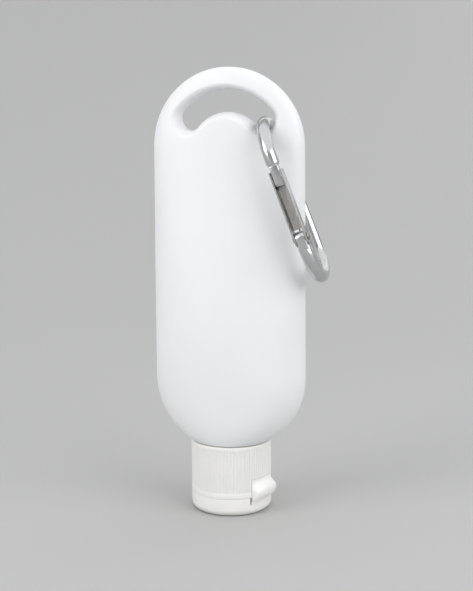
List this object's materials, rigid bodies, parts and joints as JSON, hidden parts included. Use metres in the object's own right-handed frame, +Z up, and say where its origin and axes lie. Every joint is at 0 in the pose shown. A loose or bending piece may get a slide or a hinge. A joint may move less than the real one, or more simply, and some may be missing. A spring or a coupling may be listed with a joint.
{
  "type": "sunscreen bottle",
  "caption": "Flat squeeze bottle that stands on a flip-top screw cap, with a hanger hole at its upper end and a gated metal carabiner hung through it.",
  "frame": {"origin": "centre of the lid's flat end, on which the bottle stands, on the axis of the neck and cap", "axes": "+Z up along the neck's axis, +X to the bottle's right as its front is seen, -Y out of the front face"},
  "size_m": [0.0538, 0.0268, 0.1327],
  "materials": {
    "body_plastic": "satin",
    "lotion": "satin",
    "liner_foam": "matte",
    "cap_plastic": "satin",
    "rod_metal": "polished",
    "gate_metal": "satin",
    "rivet_metal": "satin"
  },
  "bodies": {
    "bottle": {"bottle_body": "body_plastic", "lotion_fill": "lotion"},
    "seal": {"neck_liner": "liner_foam"},
    "cap": {"cap_base": "cap_plastic", "hinge_film": "cap_plastic"},
    "lid": {"cap_lid": "cap_plastic"},
    "carabiner": {"carabiner_frame": "rod_metal", "gate_spring": "rivet_metal"},
    "gate": {"carabiner_gate": "gate_metal", "gate_rivet": "rivet_metal"}
  },
  "joints": [
    {"name": "cap_back_off", "type": "slide", "parent": "bottle", "child": "seal", "axis": [0, 0, -1], "range_m": [0, 0.0056]},
    {"name": "cap_turn", "type": "hinge", "parent": "seal", "child": "cap", "pos_m": [0, 0, 0.0145], "axis": [0, 0, -1], "range_deg": [0, 630]},
    {"name": "lid_flip", "type": "hinge", "parent": "cap", "child": "lid", "pos_m": [-0.0112, 0.003, 0.00555], "axis": [0.2588, 0.9659, 0], "range_deg": [0, 140], "deforming": ["hinge_film"]},
    {"name": "carabiner_swing", "type": "hinge", "parent": "bottle", "child": "carabiner", "pos_m": [0.0112, 0, 0.1166], "axis": [0.0972, -0.9945, 0.0385], "range_deg": [0, 220]},
    {"name": "gate_open", "type": "hinge", "parent": "carabiner", "child": "gate", "pos_m": [0.02505, -0.01104, 0.08476], "axis": [-0.9247, -0.1045, -0.3661], "range_deg": [0, 10], "stiffness_Nm_per_rad": 0.02, "springref_deg": -28.65, "deforming": ["gate_spring"]}
  ],
  "couplings": [
    {"joint": "cap_back_off", "follows": "cap_turn", "m_per_rad": 0.00050532}
  ]
}
